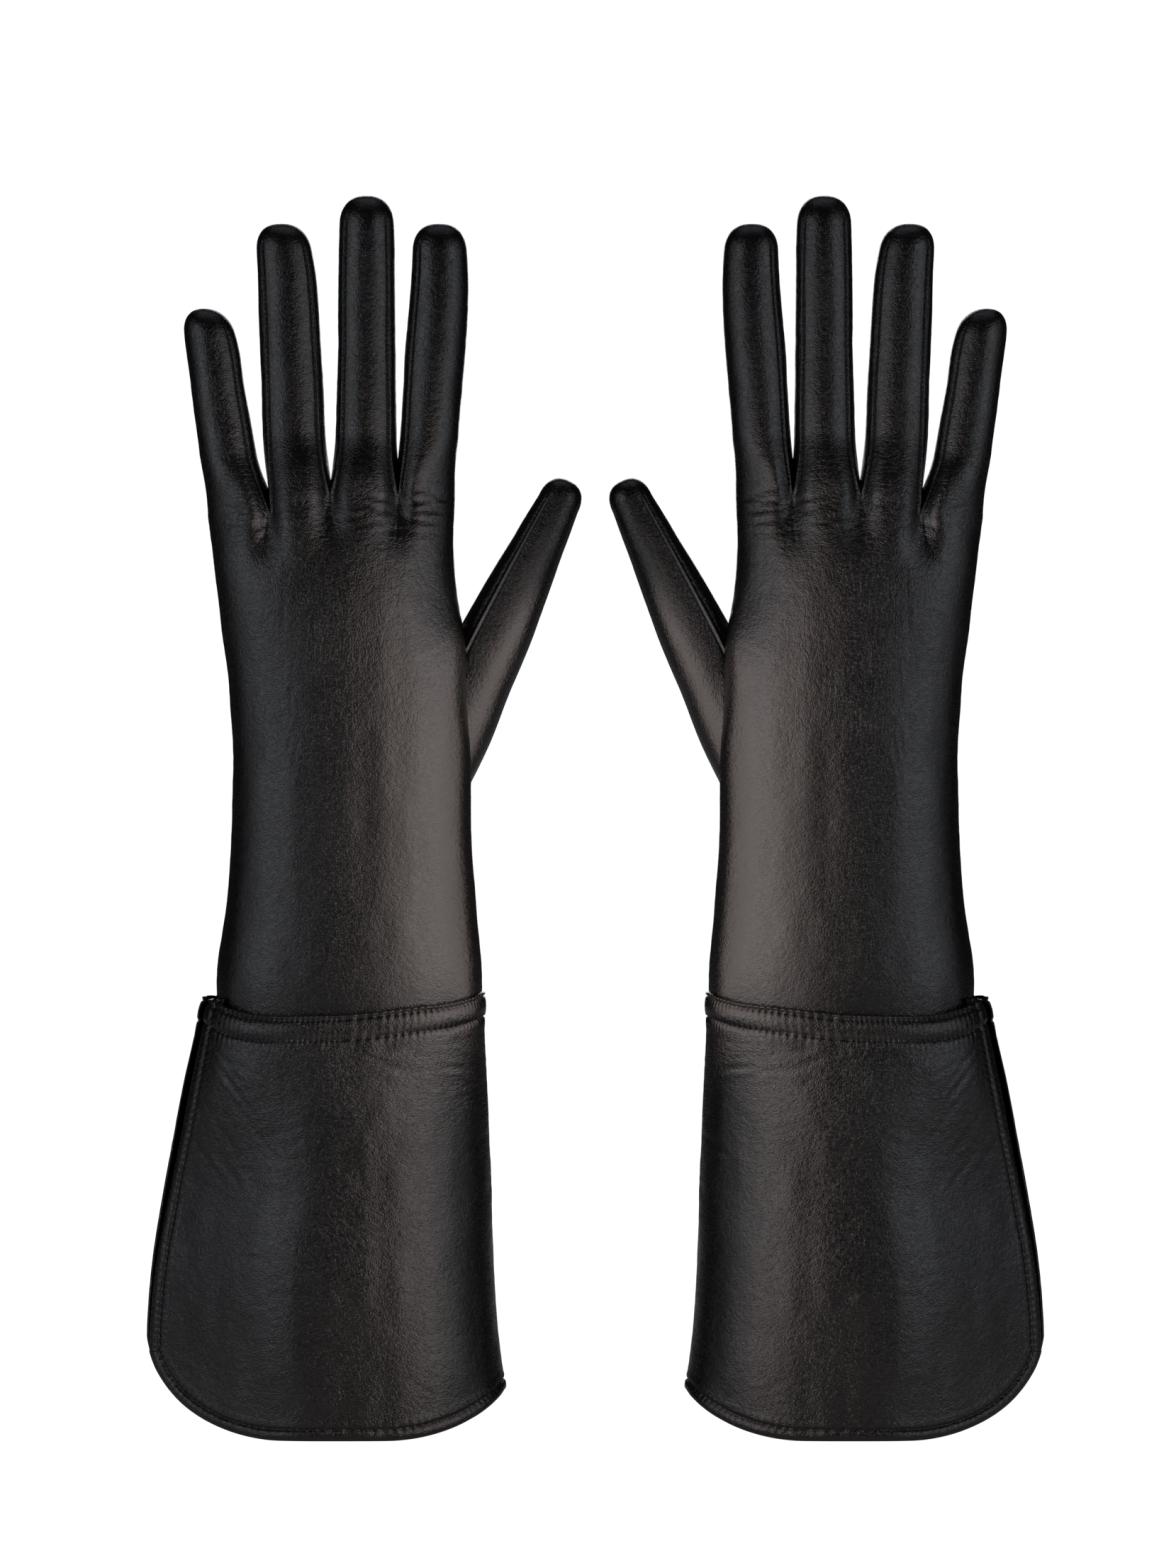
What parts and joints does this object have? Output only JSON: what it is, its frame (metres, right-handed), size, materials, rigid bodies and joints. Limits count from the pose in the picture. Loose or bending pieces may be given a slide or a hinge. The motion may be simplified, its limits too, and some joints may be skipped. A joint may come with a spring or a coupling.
{
  "type": "pair of long leather gauntlet gloves",
  "caption": "Pair of long black leather dress gloves with fourchette fingers, inset thumbs and flared gauntlet cuffs, standing upright on their hems.",
  "frame": {"origin": "midway between the two gloves, at the height of the hems", "axes": "+Z from the hems up to the fingertips, -Y towards the backs of the hands, +Y towards the palms, thumbs towards X = 0"},
  "size_m": [0.2778, 0.06, 0.3853],
  "materials": {
    "leather": "smooth black glove leather with a fine grain and a soft sheen",
    "lining": "thin dark knitted lining"
  },
  "bodies": {
    "left_forearm": {"left_cuff": "leather", "left_cuff_facing": "leather", "left_sleeve": "leather", "left_sleeve_lining": "lining", "left_wrist": "leather", "left_wrist_lining": "lining"},
    "left_hand": {"left_hand": "leather", "left_hand_lining": "lining", "left_thumb_root": "leather", "left_thumb_gusset": "leather"},
    "left_little": {"left_little_finger": "leather", "left_little_lining": "lining", "left_little_radial_fourchette": "leather"},
    "left_ring": {"left_ring_finger": "leather", "left_ring_lining": "lining", "left_ring_ulnar_fourchette": "leather", "left_ring_radial_fourchette": "leather"},
    "left_middle": {"left_middle_finger": "leather", "left_middle_lining": "lining", "left_middle_ulnar_fourchette": "leather", "left_middle_radial_fourchette": "leather"},
    "left_index": {"left_index_finger": "leather", "left_index_lining": "lining", "left_index_ulnar_fourchette": "leather"},
    "left_thumb": {"left_thumb": "leather", "left_thumb_lining": "lining"},
    "right_forearm": {"right_cuff": "leather", "right_cuff_facing": "leather", "right_sleeve": "leather", "right_sleeve_lining": "lining", "right_wrist": "leather", "right_wrist_lining": "lining"},
    "right_hand": {"right_hand": "leather", "right_hand_lining": "lining", "right_thumb_root": "leather", "right_thumb_gusset": "leather"},
    "right_little": {"right_little_finger": "leather", "right_little_lining": "lining", "right_little_radial_fourchette": "leather"},
    "right_ring": {"right_ring_finger": "leather", "right_ring_lining": "lining", "right_ring_ulnar_fourchette": "leather", "right_ring_radial_fourchette": "leather"},
    "right_middle": {"right_middle_finger": "leather", "right_middle_lining": "lining", "right_middle_ulnar_fourchette": "leather", "right_middle_radial_fourchette": "leather"},
    "right_index": {"right_index_finger": "leather", "right_index_lining": "lining", "right_index_ulnar_fourchette": "leather"},
    "right_thumb": {"right_thumb": "leather", "right_thumb_lining": "lining"}
  },
  "joints": [
    {"name": "left_wrist_bend", "type": "hinge", "parent": "left_forearm", "child": "left_hand", "pos_m": [-0.0759, 0, 0.205], "axis": [-1, 0, 0], "range_deg": [-30, 40], "deforming": ["left_wrist", "left_wrist_lining"]},
    {"name": "left_little_curl", "type": "hinge", "parent": "left_hand", "child": "left_little", "pos_m": [-0.11105, 0.0127, 0.28575], "axis": [-1, 0, 0], "range_deg": [0, 85]},
    {"name": "left_ring_curl", "type": "hinge", "parent": "left_hand", "child": "left_ring", "pos_m": [-0.09175, 0.0127, 0.29175], "axis": [-1, 0, 0], "range_deg": [0, 85]},
    {"name": "left_middle_curl", "type": "hinge", "parent": "left_hand", "child": "left_middle", "pos_m": [-0.07175, 0.0127, 0.29175], "axis": [-1, 0, 0], "range_deg": [0, 85]},
    {"name": "left_index_curl", "type": "hinge", "parent": "left_hand", "child": "left_index", "pos_m": [-0.05245, 0.0127, 0.29175], "axis": [-1, 0, 0], "range_deg": [0, 85]},
    {"name": "left_thumb_curl", "type": "hinge", "parent": "left_hand", "child": "left_thumb", "pos_m": [-0.03066, 0.0188, 0.24986], "axis": [-0.9033, 0, 0.4289], "range_deg": [0, 45]},
    {"name": "right_glove_apart", "type": "slide", "parent": "left_forearm", "child": "right_forearm", "axis": [1, 0, 0], "range_m": [0, 0.1]},
    {"name": "right_wrist_bend", "type": "hinge", "parent": "right_forearm", "child": "right_hand", "pos_m": [0.0759, 0, 0.205], "axis": [-1, 0, 0], "range_deg": [-30, 40], "deforming": ["right_wrist", "right_wrist_lining"]},
    {"name": "right_little_curl", "type": "hinge", "parent": "right_hand", "child": "right_little", "pos_m": [0.11105, 0.0127, 0.28575], "axis": [-1, 0, 0], "range_deg": [0, 85]},
    {"name": "right_ring_curl", "type": "hinge", "parent": "right_hand", "child": "right_ring", "pos_m": [0.09175, 0.0127, 0.29175], "axis": [-1, 0, 0], "range_deg": [0, 85]},
    {"name": "right_middle_curl", "type": "hinge", "parent": "right_hand", "child": "right_middle", "pos_m": [0.07175, 0.0127, 0.29175], "axis": [-1, 0, 0], "range_deg": [0, 85]},
    {"name": "right_index_curl", "type": "hinge", "parent": "right_hand", "child": "right_index", "pos_m": [0.05245, 0.0127, 0.29175], "axis": [-1, 0, 0], "range_deg": [0, 85]},
    {"name": "right_thumb_curl", "type": "hinge", "parent": "right_hand", "child": "right_thumb", "pos_m": [0.03066, 0.0188, 0.24986], "axis": [-0.9033, 0, -0.4289], "range_deg": [0, 45]}
  ]
}
